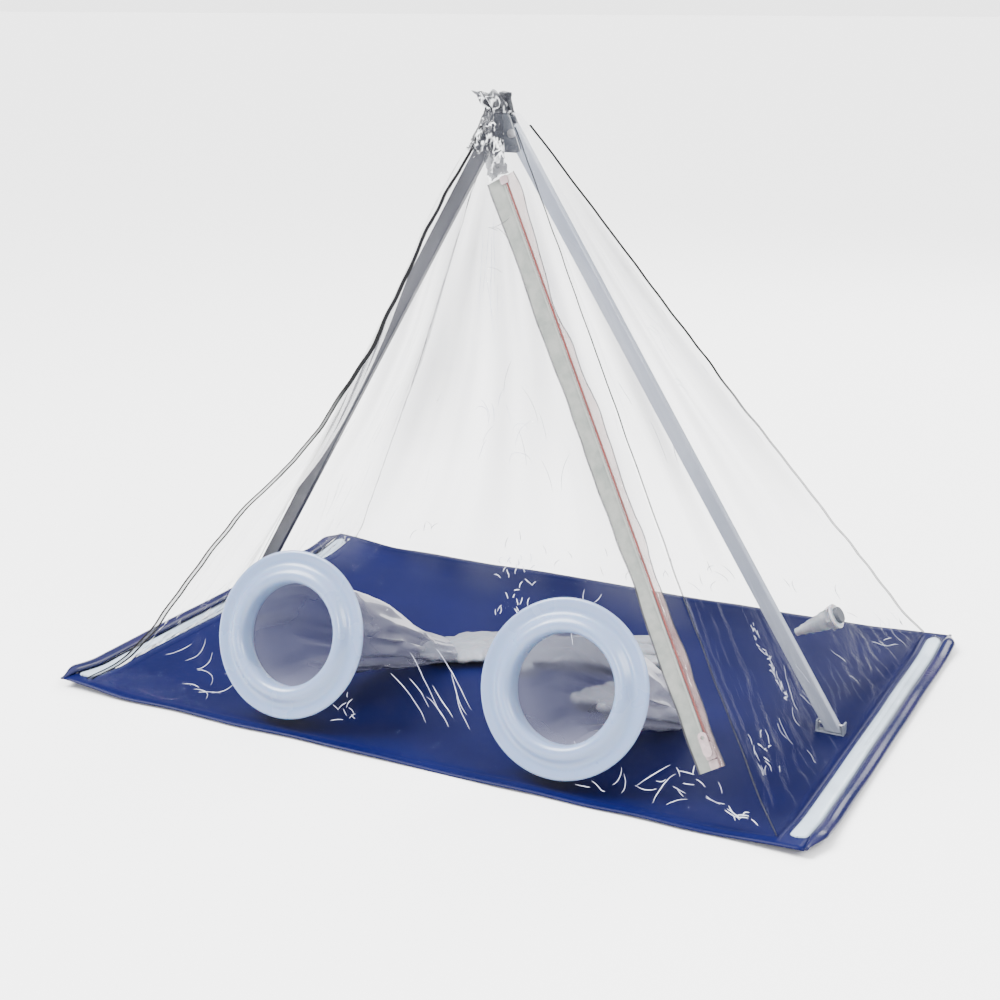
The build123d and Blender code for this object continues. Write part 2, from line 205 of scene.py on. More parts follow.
def buildGrainGroup():
    group, start, end = newGroup(
        "mouldedGrain",
        [("Vector", "NodeSocketVector", None), ("Scale", "NodeSocketFloat", 60.0),
         ("Colour", "NodeSocketColor", (0.8, 0.8, 0.8, 1)), ("Shade", "NodeSocketColor", (0.6, 0.6, 0.6, 1)),
         ("Roughness", "NodeSocketFloat", 0.35)],
        [("Colour", "NodeSocketColor"), ("Roughness", "NodeSocketFloat"), ("Height", "NodeSocketFloat")],
    )
    clouds = addNode(group, "ShaderNodeTexNoise")
    setValues(clouds, Detail=4.0, Roughness=0.6)
    wire(group, start.outputs["Vector"], clouds.inputs["Vector"])
    wire(group, start.outputs["Scale"], clouds.inputs["Scale"])
    speck = addNode(group, "ShaderNodeTexNoise")
    setValues(speck, Detail=2.0)
    wire(group, start.outputs["Vector"], speck.inputs["Vector"])
    wire(group, addMath(group, "MULTIPLY", start.outputs["Scale"], 22.0), speck.inputs["Scale"])
    mix = addNode(group, "ShaderNodeMix", data_type="RGBA")
    wire(group, addRange(group, clouds.outputs["Fac"], 0.4, 0.7), mix.inputs["Factor"])
    wire(group, start.outputs["Colour"], mix.inputs["A"])
    wire(group, start.outputs["Shade"], mix.inputs["B"])
    worn = addMath(group, "MULTIPLY", addMath(group, "SUBTRACT", clouds.outputs["Fac"], 0.5), 0.25)
    wire(group, mix.outputs["Result"], end.inputs["Colour"])
    wire(group, addMath(group, "ADD", start.outputs["Roughness"], worn, True), end.inputs["Roughness"])
    wire(group, speck.outputs["Fac"], end.inputs["Height"])
    return group


filmGroup = buildFilmGroup()
grainGroup = buildGrainGroup()
print("shader groups made")


def mappedVector(tree, source, scale):
    place = addNode(tree, "ShaderNodeTexCoord")
    mapping = addNode(tree, "ShaderNodeMapping")
    mapping.inputs["Scale"].default_value = scale
    wire(tree, place.outputs[source], mapping.inputs["Vector"])
    return mapping.outputs["Vector"]


def makePlastic(name, colour, shade, roughness, grain=60.0, bump=0.1, coat=0.0, under=0.0, alpha=1.0, mirror=0.5):
    material, tree, shader, output = newMaterial(name)
    made = addNode(tree, "ShaderNodeGroup", node_tree=grainGroup)
    wire(tree, mappedVector(tree, "Object", (1, 1, 1)), made.inputs["Vector"])
    setValues(made, Scale=grain, Colour=(*colour, 1), Shade=(*shade, 1), Roughness=roughness)
    wire(tree, made.outputs["Colour"], shader.inputs["Base Color"])
    wire(tree, made.outputs["Roughness"], shader.inputs["Roughness"])
    lift = addNode(tree, "ShaderNodeBump")
    setValues(lift, Strength=bump, Distance=0.0004)
    wire(tree, made.outputs["Height"], lift.inputs["Height"])
    wire(tree, lift.outputs["Normal"], shader.inputs["Normal"])
    shader.inputs["Coat Weight"].default_value = coat
    shader.inputs["Coat Roughness"].default_value = 0.08
    shader.inputs["Subsurface Weight"].default_value = under
    shader.inputs["Subsurface Scale"].default_value = 0.006
    shader.inputs["Alpha"].default_value = alpha
    shader.inputs["Specular IOR Level"].default_value = mirror
    return material


# film looks: glints are painted highlights, and the haze and sheen is partly the film's own haze and partly painted
# reflection
filmLooks = {
    "clearFilm": {"tint": (0.965, 0.965, 0.97), "coverColour": (0.21, 0.212, 0.235), "source": "UV", "stretch": (17, 1.9, 1),
                  "scale": 1.0, "line": 0.010, "amount": 0.34, "hazeSheenLow": 0.012, "hazeSheenHigh": 0.50, "base": 0.002,
                  "gloss": 0.05, "glint": 0.8, "mirror": 1.06, "bump": 0.12},
    # painted reflection: crumpledFilm's near-black cover colour and white glints stand in for the dark and bright
    # reflections in the crumpled film
    "crumpledFilm": {"tint": (0.70, 0.71, 0.73), "coverColour": (0.018, 0.019, 0.026), "source": "Object", "stretch": (1, 1, 0.6),
                     "scale": 85.0, "line": 0.050, "amount": 0.74, "hazeSheenLow": 0.4, "hazeSheenHigh": 0.4, "base": 0.5,
                     "gloss": 0.10, "glint": 1.0, "mirror": 1.2, "bump": 0.4},
    "sleeveFilm": {"tint": (0.84, 0.84, 0.88), "coverColour": (0.190, 0.193, 0.252), "source": "Object", "stretch": (1, 1, 1),
                   "scale": 18.0, "line": 0.006, "amount": 0.2, "hazeSheenLow": 0.25, "hazeSheenHigh": 0.25, "base": 0.46,
                   "gloss": 0.3, "glint": 0.35, "mirror": 1.05, "bump": 0.1},
}


def makeFilm(name):
    look = filmLooks[name]
    material, tree, shader, output = newMaterial(name)
    made = addNode(tree, "ShaderNodeGroup", node_tree=filmGroup)
    wire(tree, mappedVector(tree, look["source"], look["stretch"]), made.inputs["Vector"])
    setValues(made, Scale=look["scale"], Line_Width=look["line"], Amount=look["amount"])
    glint = made.outputs["Glint"]
    place = addNode(tree, "ShaderNodeTexCoord")
    split = addNode(tree, "ShaderNodeSeparateXYZ")
    wire(tree, place.outputs["UV"], split.inputs[0])  # painted reflection: the walls get more haze and sheen higher up
    hazeSheenByHeight = addRange(tree, split.outputs["Y"], 0.26, 0.50, look["hazeSheenLow"], look["hazeSheenHigh"])
    hazeSheenByHeight = addMath(tree, "MULTIPLY", hazeSheenByHeight, addRange(tree, split.outputs["Y"], 0.74, 0.90, 1.0, 0.15))
    lift = addNode(tree, "ShaderNodeBump")
    setValues(lift, Strength=look["bump"], Distance=0.003)
    wire(tree, made.outputs["Height"], lift.inputs["Height"])
    # painted highlight: the base colour goes near white where the glint mask is up
    tone = addNode(tree, "ShaderNodeMix", data_type="RGBA")
    wire(tree, glint, tone.inputs["Factor"])
    tone.inputs["A"].default_value = (*look["coverColour"], 1)
    tone.inputs["B"].default_value = (0.85, 0.86, 0.88, 1)
    wire(tree, tone.outputs["Result"], shader.inputs["Base Color"])
    shader.inputs["Roughness"].default_value = 0.4
    shader.inputs["Specular IOR Level"].default_value = 0.2
    hazeAndSheen = addMath(tree, "MULTIPLY", made.outputs["Haze And Sheen"], hazeSheenByHeight)
    covered = addMath(tree, "ADD", addMath(tree, "ADD", hazeAndSheen, look["base"]),
                      addMath(tree, "MULTIPLY", glint, look["glint"]), True)
    clear = addNode(tree, "ShaderNodeBsdfTransparent")
    clear.inputs["Color"].default_value = (*look["tint"], 1)
    shine = addNode(tree, "ShaderNodeBsdfGlossy")
    setValues(shine, Roughness=look["gloss"])
    wire(tree, lift.outputs["Normal"], shine.inputs["Normal"])
    fresnel = addNode(tree, "ShaderNodeFresnel")
    setValues(fresnel, IOR=look["mirror"])
    wire(tree, lift.outputs["Normal"], fresnel.inputs["Normal"])
    skin = addNode(tree, "ShaderNodeMixShader")
    wire(tree, fresnel.outputs[0], skin.inputs[0])
    wire(tree, clear.outputs[0], skin.inputs[1])
    wire(tree, shine.outputs[0], skin.inputs[2])
    whole = addNode(tree, "ShaderNodeMixShader")
    wire(tree, covered, whole.inputs[0])
    wire(tree, skin.outputs[0], whole.inputs[1])
    wire(tree, shader.outputs[0], whole.inputs[2])
    wire(tree, whole.outputs[0], output.inputs["Surface"])
    return material


def makeSeamFilm():  # doubled film at a welded edge, in painted shade: dark rims and a paler middle, dark all across higher up
    material, tree, shader, output = newMaterial("seamFilm")
    place = addNode(tree, "ShaderNodeTexCoord")
    split = addNode(tree, "ShaderNodeSeparateXYZ")
    wire(tree, place.outputs["UV"], split.inputs[0])
    middle = addMath(tree, "ABSOLUTE", addMath(tree, "SUBTRACT", split.outputs["X"], 0.5))
    high = addRange(tree, split.outputs["Y"], 0.35, 0.55)
    rim = addMath(tree, "MAXIMUM", addRange(tree, middle, 0.14, 0.24), high)
    alpha = addRange(tree, rim, 0.0, 1.0, 0.55, 1.0)
    colour = addNode(tree, "ShaderNodeMix", data_type="RGBA")
    wire(tree, rim, colour.inputs["Factor"])
    colour.inputs["A"].default_value = (0.10, 0.105, 0.11, 1)
    colour.inputs["B"].default_value = (0.003, 0.003, 0.004, 1)
    wire(tree, colour.outputs["Result"], shader.inputs["Base Color"])
    wire(tree, alpha, shader.inputs["Alpha"])
    shader.inputs["Roughness"].default_value = 0.3
    shader.inputs["Specular IOR Level"].default_value = 0.15
    return material


finish = {
    "mat": makePlastic("matPvc", (0.0018, 0.0032, 0.036), (0.0027, 0.0043, 0.045), 0.33, grain=7.0, bump=0.15, mirror=0.06),
    "hem": makePlastic("hemPvc", (0.004, 0.006, 0.038), (0.010, 0.007, 0.046), 0.24, grain=16.0, bump=0.2, mirror=0.2),
    "strip": makePlastic("stripSatin", (0.40, 0.49, 0.58), (0.32, 0.39, 0.46), 0.42, grain=26.0, bump=0.3, coat=0.2),
    "ring": makePlastic("ringPlastic", (0.158, 0.218, 0.350), (0.142, 0.200, 0.328), 0.28, grain=9.0, bump=0.05, coat=0.15, under=0.3),
    "glove": makePlastic("gloveFilm", (0.215, 0.23, 0.262), (0.16, 0.17, 0.20), 0.42, grain=30.0, bump=0.4, under=0.3, alpha=0.9),
    "rod": makePlastic("rodPlastic", (0.31, 0.335, 0.40), (0.28, 0.31, 0.38), 0.34, grain=12.0, bump=0.15, coat=0.2),
    # painted shade: the left-hand rod is the same pale plastic as the right-hand one, darkened for the shade it stands
    # in
    "rodPaintedShade": makePlastic("rodPaintedShade", (0.040, 0.042, 0.055), (0.030, 0.032, 0.043), 0.38, grain=12.0, bump=0.15),
    "tape": makePlastic("zipTape", (0.175, 0.182, 0.168), (0.115, 0.130, 0.120), 0.55, grain=70.0, bump=0.5),
    "margin": makePlastic("zipMargin", (0.30, 0.22, 0.20), (0.20, 0.12, 0.11), 0.2, grain=45.0, bump=0.3, coat=0.4, alpha=0.6),
    "red": makePlastic("zipRed", (0.13, 0.024, 0.022), (0.08, 0.024, 0.022), 0.3, grain=60.0),
    "grey": makePlastic("zipGrey", (0.20, 0.21, 0.19), (0.16, 0.17, 0.16), 0.4, grain=60.0),
    "slider": makePlastic("sliderPlastic", (0.34, 0.27, 0.28), (0.22, 0.17, 0.18), 0.2, grain=90.0, coat=0.4),
    "port": makePlastic("portPlastic", (0.42, 0.44, 0.48), (0.26, 0.28, 0.33), 0.25, grain=70.0, coat=0.3, under=0.3, alpha=0.8),
    "dark": makePlastic("darkRubber", (0.03, 0.035, 0.05), (0.05, 0.055, 0.07), 0.5, grain=80.0, bump=0.3),
    # painted shade: the hub plates' dark grey stands in for the shade under the gathered apex
    "hub": makePlastic("hubPlastic", (0.055, 0.06, 0.075), (0.09, 0.10, 0.12), 0.3, grain=50.0, bump=0.3, coat=0.3),
    "metal": makePlastic("rivetMetal", (0.6, 0.6, 0.62), (0.45, 0.45, 0.47), 0.3, grain=80.0),
    "shoe": makePlastic("shoePlastic", (0.20, 0.22, 0.28), (0.14, 0.155, 0.20), 0.3, grain=70.0),
    # painted highlight: pale strokes standing for the light caught on the film's creases
    "glint": makePlastic("creaseGlint", (0.55, 0.57, 0.66), (0.16, 0.16, 0.26), 0.25, grain=40.0, coat=0.4, alpha=0.85),
    # painted shade: near-black lines along the zip's edges, beside the left-hand rod and in some creases
    "darkLine": makePlastic("creaseShade", (0.02, 0.02, 0.024), (0.05, 0.05, 0.055), 0.35, grain=50.0, alpha=0.85),
    "film": makeFilm("clearFilm"),
    "crumple": makeFilm("crumpledFilm"),
    "sleeve": makeFilm("sleeveFilm"),
    "seam": makeSeamFilm(),
}
finish["metal"].node_tree.nodes["Principled BSDF"].inputs["Metallic"].default_value = 1.0
print("materials made")


# the tent's driving sizes, read from the frame

backLow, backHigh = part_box("canopy_back")
rightLow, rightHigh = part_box("canopy_right")
tuftLow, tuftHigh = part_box("apex_tuft")
rodLow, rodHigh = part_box("right_rod")
tent = {
    "halfX": rightHigh[0], "halfY": backHigh[1], "seamZ": backLow[2], "topZ": backHigh[2],
    "topHalfX": 0.012, "topHalfY": 0.010, "topY": -0.042,
    "rodFootX": 0.345, "rodFootY": -0.022, "rodFootZ": 0.010, "rodTopX": 0.012, "rodTopZ": 0.560,
    "rodHalf": 0.0085,
}
frontRun = tent["halfY"] + tent["topY"] - tent["topHalfY"]
tentRise = tent["topZ"] - tent["seamZ"]
frontTilt = atan2(frontRun, tentRise)
frontLength = hypot(frontRun, tentRise)
frontUp = Vector((0, sin(frontTilt), cos(frontTilt)))
frontOut = Vector((0, -cos(frontTilt), sin(frontTilt)))


def onFront(x, up, out=0.0):  # a point on the front wall, from its foot line
    return Vector((x, -tent["halfY"], tent["seamZ"])) + frontUp * up + frontOut * out


ringSpots = {"left": -0.136, "right": 0.156}
ringUp = 0.094

matLook = {
    "halfX": 0.394, "halfY": 0.270, "thickness": 0.0012, "cells": (130, 90),
    "cornerLift": 0.007, "edgeWave": 0.0035, "waveLength": 0.11,
}


def matHeight(x, y):  # how far the mat's top has lifted off flat
    edgeX = ramp(0.30, 0.40, abs(x))
    edgeY = ramp(0.20, 0.27, abs(y))
    lift = matLook["cornerLift"] * edgeX * edgeY * (1.0 if x < 0 or y > 0 else 0.45)
    wave = matLook["edgeWave"] * edgeY * (0.5 + 0.5 * rough(x / matLook["waveLength"], y * 4, 2.0))
    end = 0.0025 * edgeX * (0.5 + 0.5 * rough(x * 3, y / 0.09, 5.0))
    footClear = 1 - exp(-((abs(x) - tent["rodFootX"]) / 0.03) ** 2 - ((y - tent["rodFootY"]) / 0.05) ** 2)
    return (lift + max(0.0, wave) + max(0.0, end)) * footClear


def buildMat():
    def place(u, v):
        x = (2 * u - 1) * matLook["halfX"]
        y = (2 * v - 1) * matLook["halfY"]
        y += 0.0018 * rough(x * 14, 3.0) * ramp(0.9, 1.0, abs(2 * v - 1))
        return (x, y, matLook["thickness"] + matHeight(x, y))

    mat = addGrid("baseMat", *matLook["cells"], place, finish["mat"], slot="mat_pvc", replaces=("base_mat",))
    thick = mat.modifiers.new("sheetThickness", "SOLIDIFY")
    thick.thickness = matLook["thickness"]
    thick.offset = -1
    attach(mat, "base")
    return mat


mat = buildMat()
print("mat made")


hemLook = {"width": 0.0130, "height": 0.0080, "turns": 14, "steps": 120, "layerDrop": 0.0035, "layerOut": 0.005}


def buildHem(side, sign):  # the rolled end, with the mat's under layer showing below it
    points, faces = [], []
    turns, steps = hemLook["turns"], hemLook["steps"]
    for s in range(steps + 1):
        y = (2 * s / steps - 1) * matLook["halfY"]
        taper = ramp(0, 0.03, matLook["halfY"] - abs(y)) * 0.75 + 0.25
        puff = 1 + 0.35 * rough(y * 9, sign * 3.0)
        base = matHeight(sign * matLook["halfX"], y)
        for k in range(turns):
            angle = 2 * pi * k / turns
            x = matLook["halfX"] + hemLook["width"] * (0.42 + 0.55 * cos(angle)) * taper
            z = base + hemLook["height"] * (0.5 + 0.48 * sin(angle) * clamp(puff, 0.6, 1.3)) * taper
            points.append((sign * x, y, max(0.0, z)))
    for s in range(steps):
        for k in range(turns):
            a, b = s * turns + k, s * turns + (k + 1) % turns
            faces.append((a, b, b + turns, a + turns) if sign > 0 else (b, a, a + turns, b + turns))
    faces.append(tuple(range(turns)))
    faces.append(tuple(steps * turns + k for k in range(turns)))
    return addPiece(f"{side}Hem", points, faces, finish["hem"], "base", "mat_pvc", (f"{side}_hem",))


stripLook = {"middle": 0.3825, "halfWidth": 0.0078, "halfLength": 0.253, "thickness": 0.0022, "sleeveHalf": 0.0105}


def roundedEnd(t, halfLength, halfWidth):  # half width at t along a strip with round ends
    left = halfLength - abs(t)
    if left >= halfWidth:
        return halfWidth
    return max(0.0004, (halfWidth ** 2 - (halfWidth - left) ** 2) ** 0.5)


def buildStrip(side, sign):
    look = stripLook

    def placeStrip(u, v):
        y = (2 * v - 1) * look["halfLength"]
        half = roundedEnd(y, look["halfLength"], look["halfWidth"])
        x = sign * look["middle"] + (2 * u - 1) * half
        crown = look["thickness"] * (1 - abs(2 * u - 1) ** 6) * (0.85 + 0.15 * rough(y * 16, sign))
        return (x, y, matLook["thickness"] + matHeight(x, y) + 0.0002 + crown)

    strip = addGrid(f"{side}Strip", 14, 200, placeStrip, finish["strip"], slot="batten_white",
                    body="base", replaces=(f"{side}_batten",))

    def placeSleeve(u, v):
        y = (2 * v - 1) * (look["halfLength"] + 0.002)
        half = roundedEnd(y, look["halfLength"] + 0.002, look["sleeveHalf"])
        x = sign * look["middle"] + (2 * u - 1) * half
        crown = 0.0031 * (1 - abs(2 * u - 1) ** 5) + 0.0005 * ridge(x * 60, y * 22, 4.0) * (1 - abs(2 * u - 1))
        return (x, y, matLook["thickness"] + matHeight(x, y) + 0.0003 + crown)

    sleeve = addGrid(f"{side}StripSleeve", 14, 220, placeSleeve, finish["film"], slot="clear_film",
                     body="base", replaces=(f"{side}_batten_sleeve",))
    return strip, sleeve


for side, sign in (("left", -1), ("right", 1)):
    buildHem(side, sign)
    buildStrip(side, sign)
print("hems and strips made")


# corner seams: where each one runs between the mat and the apex

cornerPull = {  # how far a seam is pulled in, as it rises: share of the height, then metres in x; y is a share of that
    (-1, -1): {"path": ((0, 0), (0.05, 0.020), (0.09, 0.025), (0.22, 0.0275), (0.32, 0.030), (0.40, 0.044), (0.46, 0.0484),
                        (0.61, 0.0448), (0.69, 0.0346), (0.75, 0.028), (0.82, 0.018), (0.88, 0.0127), (0.94, 0.011), (1, 0)),
               "sideways": 0.5},
    (1, -1): {"path": ((0, 0), (0.3, 0.006), (1, 0)), "sideways": 0.67},
    (1, 1): {"path": ((0, 0), (0.5, 0.003), (1, 0)), "sideways": 1.0},
    (-1, 1): {"path": ((0, 0), (0.5, 0.010), (1, 0)), "sideways": 0.8},
}


def alongPath(path, t):
    for (t0, a), (t1, b) in zip(path, path[1:]):
        if t <= t1:
            return a + (b - a) * clamp((t - t0) / (t1 - t0))
    return path[-1][1]


def cornerPoint(xSign, ySign, v):
    look = cornerPull[(xSign, ySign)]
    pull = (alongPath(look["path"], v - 0.012) + alongPath(look["path"], v + 0.012)) / 2 if 0 < v < 1 else 0.0
    x = xSign * (tent["halfX"] + (tent["topHalfX"] - tent["halfX"]) * v - pull)
    low, high = ySign * tent["halfY"], tent["topY"] + ySign * tent["topHalfY"]
    y = low + (high - low) * v - ySign * pull * look["sideways"]
    z = tent["seamZ"] + tentRise * v
    foot = matHeight(x, y) * (1 - ramp(0.0, 0.06, v))
    return Vector((x, y, z + foot))


zipLine = {"foot": Vector((0.368, 0)), "start": 0.076, "length": 0.579, "inset": 0.027}
edgeAngle = atan2(frontLength, -(tent["halfX"] - tent["topHalfX"]))
edgeAlong = Vector((cos(edgeAngle), sin(edgeAngle)))
edgeIn = Vector((-sin(edgeAngle), cos(edgeAngle)))


def zipPoint(along, across, out=0.0):  # a point beside the zip: across is towards the left
    spot = zipLine["foot"] + edgeAlong * (zipLine["start"] + along) + edgeIn * (zipLine["inset"] + across)
    return onFront(spot.x, spot.y, out)


def zipDistance(x, up):
    d = Vector((x, up)) - zipLine["foot"]
    return abs(d.dot(edgeIn) - zipLine["inset"])


filmLook = {"ringFlat": 0.086, "ringSoft": 0.045, "fold": 0.008, "crumple": 0.0032, "pucker": 0.0022, "holeRadius": 0.0575}


def radialFolds(u, v, seed, size):  # long folds that run down from the apex
    grow = (sin(pi * clamp(v)) ** 0.8) if 0 < v < 1 else 0.0
    broad = rough(u * 5.5 + 0.6 * rough(v * 2, seed), v * 0.8, seed) * size
    sharp = (ridge(u * 15 + 0.8 * rough(v * 3, seed + 4), v * 1.3, seed + 9) ** 2) * size * 0.25
    return (broad + sharp) * grow


def edgeCrumple(u, v, seed, size):  # small sharp creases near the mat seam and the corners
    low = exp(-v / 0.10) * ramp(0.0, 0.02, v)
    corner = exp(-min(u, 1 - u) / 0.10) * ramp(0, 0.02, min(u, 1 - u)) * 0.6
    crease = ridge(u * 26, v * 16, seed) * 0.7 + ridge(u * 55, v * 34, seed + 3) * 0.4 - 0.45
    return crease * size * (low + corner * (1 - v))


def buildFrontFilm():
    across, up = 190, 170
    look = filmLook

    def flatPlace(u, v):
        left, right = cornerPoint(-1, -1, v), cornerPoint(1, -1, v)
        return left.lerp(right, u)

    def place(u, v):
        p = flatPlace(u, v)
        x, t = p.x, (p.z - tent["seamZ"]) / cos(frontTilt)
        calm = 1.0
        pucker = 0.0
        for spot in ringSpots.values():
            away = hypot(x - spot, t - ringUp)
            calm *= ramp(look["ringFlat"], look["ringFlat"] + look["ringSoft"], away)
            turn = atan2(t - ringUp, x - spot)
            pucker += look["pucker"] * sin(turn * 17 + 2 * rough(turn, spot)) * exp(-max(0, away - 0.09) / 0.03) * ramp(0.083, 0.095, away)
        zipCalm = ramp(0.018, 0.05, zipDistance(x, t))
        topCalm = 1 - ramp(0.86, 0.97, v)
        push = radialFolds(u, v, 1.0, look["fold"]) * calm * zipCalm * topCalm
        push += pucker * zipCalm
        push += edgeCrumple(u, v, 7.0, look["crumple"]) * zipCalm * (0.3 + 0.7 * calm)
        push *= ramp(0.0, 0.025, v) * ramp(0, 0.02, min(u, 1 - u))
        y = p.y
        inRing = min(hypot(x - spot, t - ringUp) for spot in ringSpots.values())
        straight = onFront(x, t)
        hold = max(1 - ramp(look["ringFlat"], look["ringFlat"] + 0.05, inRing), 1 - zipCalm)
        p = Vector((x, y * (1 - hold) + straight.y * hold, p.z))
        return p + frontOut * push

    def keep(u, v):
        p = flatPlace(u, v)
        t = (p.z - tent["seamZ"]) / cos(frontTilt)
        return all(hypot(p.x - spot, t - ringUp) > look["holeRadius"] for spot in ringSpots.values())

    film = addGrid("frontFilm", across, up, place, finish["film"], keepFace=keep, slot="clear_film",
                   replaces=("canopy_front",))
    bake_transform(film)
    return film, place


frontFilm, frontPlace = buildFrontFilm()
print("front film made")


def rodOut(z):  # how far out a rod's outer side is at height z
    share = clamp((z - tent["rodFootZ"]) / (tent["rodTopZ"] - tent["rodFootZ"]))
    return tent["rodFootX"] + (tent["rodTopX"] - tent["rodFootX"]) * share + tent["rodHalf"]


def rodDepth(z):
    share = (z - tent["rodFootZ"]) / (tent["rodTopZ"] - tent["rodFootZ"])
    return tent["rodFootY"] + (tent["topY"] - tent["rodFootY"]) * share


gasSpot = {"y": 0.072, "z": 0.084, "radius": 0.0095}
sideLook = {"inward": 0.006, "fold": 0.006, "crumple": 0.0035}


def buildSideFilm(side, sign):
    def flatPlace(u, v):
        return cornerPoint(sign, -1, v).lerp(cornerPoint(sign, 1, v), u)

    def place(u, v):
        p = flatPlace(u, v)
        push = radialFolds(u, v, 21.0 + sign, sideLook["fold"])
        push += edgeCrumple(u, v, 31.0 + sign, sideLook["crumple"])
        push -= sideLook["inward"] * sin(pi * u) * sin(pi * v)
        push *= ramp(0, 0.03, v) * ramp(0, 0.03, min(u, 1 - u)) * (1 - ramp(0.9, 0.99, v))
        if sign > 0:
            gap = hypot(p.y - gasSpot["y"], p.z - gasSpot["z"])
            push *= ramp(0.016, 0.045, gap)
        x = abs(p.x) + push * 0.85
        z = p.z + push * 0.5
        drape = exp(-((p.y - rodDepth(p.z)) / 0.035) ** 2)
        short = rodOut(p.z) + 0.004 - x
        if short > -0.004 and v < 0.96:
            x += drape * max(0.0, short)
        return Vector((sign * x, p.y, z))

    def keep(u, v):
        if sign < 0:
            return True
        p = flatPlace(u, v)
        return hypot(p.y - gasSpot["y"], p.z - gasSpot["z"]) > gasSpot["radius"]

    film = addGrid(f"{side}Film", 130, 140, place, finish["film"], keepFace=keep, slot="clear_film",
                   replaces=(f"canopy_{side}",))
    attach(film, "base")
    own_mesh(film)
    return place


def buildBackFilm():
    def place(u, v):
        p = cornerPoint(1, 1, v).lerp(cornerPoint(-1, 1, v), u)
        push = radialFolds(u, v, 41.0, 0.005) + edgeCrumple(u, v, 47.0, 0.0008)
        push -= 0.010 * sin(pi * u) * sin(pi * v)
        push *= ramp(0, 0.03, v) * ramp(0, 0.03, min(u, 1 - u)) * (1 - ramp(0.9, 0.99, v))
        return p + Vector((0, 0.89, 0.45)) * push

    film = addGrid("backFilm", 130, 130, place, finish["film"], slot="clear_film", replaces=("canopy_back",))
    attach(film, "base")
    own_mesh(film)
    return place


leftPlace = buildSideFilm("left", -1)
rightPlace = buildSideFilm("right", 1)
backPlace = buildBackFilm()
print("side and back films made")


finWidth = {  # how wide each welded corner fin is, low down and near the apex
    (-1, -1): {"name": "frontLeftSeam", "low": 0.0068, "high": 0.0026},
    (1, -1): {"name": "frontRightSeam", "low": 0.003, "high": 0.002},
    (1, 1): {"name": "backRightSeam", "low": 0.0026, "high": 0.0022},
    (-1, 1): {"name": "backLeftSeam", "low": 0.002, "high": 0.002},
}


def buildFin(corner, look):
    xSign, ySign = corner

    def place(u, v):
        v = 0.004 + v * 0.975
        p = cornerPoint(xSign, ySign, v)
        width = look["low"] + (look["high"] - look["low"]) * v
        out = Vector((xSign * 0.8, ySign * 0.55, 0.25)).normalized()
        wave = 0.0012 * rough(v * 22, xSign + 2 * ySign) * ramp(0, 0.05, v)
        return p + out * (width * u + wave)

    fin = addGrid(look["name"], 4, 160, place, finish["seam"], slot="clear_film")
    if ySign < 0:
        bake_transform(fin)
    else:
        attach(fin, "base")
        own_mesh(fin)
    return fin


for corner, look in finWidth.items():
    buildFin(corner, look)
print("corner seams made")


creaseLook = {  # creases, the bright ones painted highlights and the shade set painted shade: u, v, spread in u and v, how many, length, width, heading in degrees, turning
    "front": {"place": frontPlace, "out": tuple(frontOut), "finish": "glint", "seed": 11, "sets": (
        (0.545, 0.070, 0.045, 0.025, 8, 0.058, 0.0009, -40, 0.05), (0.40, 0.055, 0.03, 0.020, 9, 0.010, 0.0008, -50, 0.10),
        (0.12, 0.050, 0.08, 0.025, 9, 0.034, 0.0007, 62, 0.16), (0.66, 0.280, 0.04, 0.045, 34, 0.008, 0.0009, 0, 0.10),
        (0.92, 0.055, 0.04, 0.030, 11, 0.013, 0.0008, -35, 0.10), (0.965, 0.020, 0.02, 0.012, 9, 0.011, 0.0009, -20, 0.10),
        (0.80, 0.030, 0.07, 0.020, 8, 0.020, 0.0007, 70, 0.10), (0.50, 0.680, 0.06, 0.050, 7, 0.080, 0.0006, 0, 0.02),
        (0.58, 0.500, 0.06, 0.050, 10, 0.030, 0.0006, 0, 0.25), (0.80, 0.250, 0.06, 0.040, 8, 0.016, 0.0007, 30, 0.10),
        (0.885, 0.070, 0.01, 0.006, 2, 0.040, 0.0008, -120, 0.1))},
    "right": {"place": rightPlace, "out": (0.85, 0.0, 0.5), "finish": "glint", "seed": 12, "sets": (
        (0.09, 0.085, 0.045, 0.030, 14, 0.012, 0.0014, 30, 0.10), (0.272, 0.165, 0.011, 0.055, 38, 0.007, 0.0011, 0, 0.10),
        (0.285, 0.100, 0.01, 0.010, 1, 0.040, 0.0008, 10, 0.3), (0.40, 0.070, 0.25, 0.050, 9, 0.026, 0.0006, -30, 0.12),
        (0.86, 0.045, 0.09, 0.030, 10, 0.020, 0.0007, -10, 0.10), (0.75, 0.600, 0.10, 0.070, 7, 0.032, 0.0006, -20, 0.2))},
    "left": {"place": leftPlace, "out": (-0.85, 0.0, 0.5), "finish": "glint", "seed": 13, "sets": (
        (0.50, 0.070, 0.42, 0.050, 24, 0.026, 0.0008, 0, 0.12), (0.70, 0.300, 0.20, 0.150, 10, 0.060, 0.0006, 0, 0.05))},
    "back": {"place": backPlace, "out": (0.0, 0.89, 0.45), "finish": "glint", "seed": 14, "sets": (
        (0.50, 0.050, 0.42, 0.040, 30, 0.022, 0.0008, 0, 0.12), (0.50, 0.350, 0.25, 0.200, 12, 0.060, 0.0006, 0, 0.05))},
    "shade": {"place": frontPlace, "out": tuple(frontOut), "finish": "darkLine", "seed": 15, "sets": (
        (0.50, 0.824, 0.02, 0.003, 3, 0.022, 0.0005, 84, 0.12), (0.46, 0.760, 0.03, 0.005, 1, 0.030, 0.0004, 84, 0.1))},
}


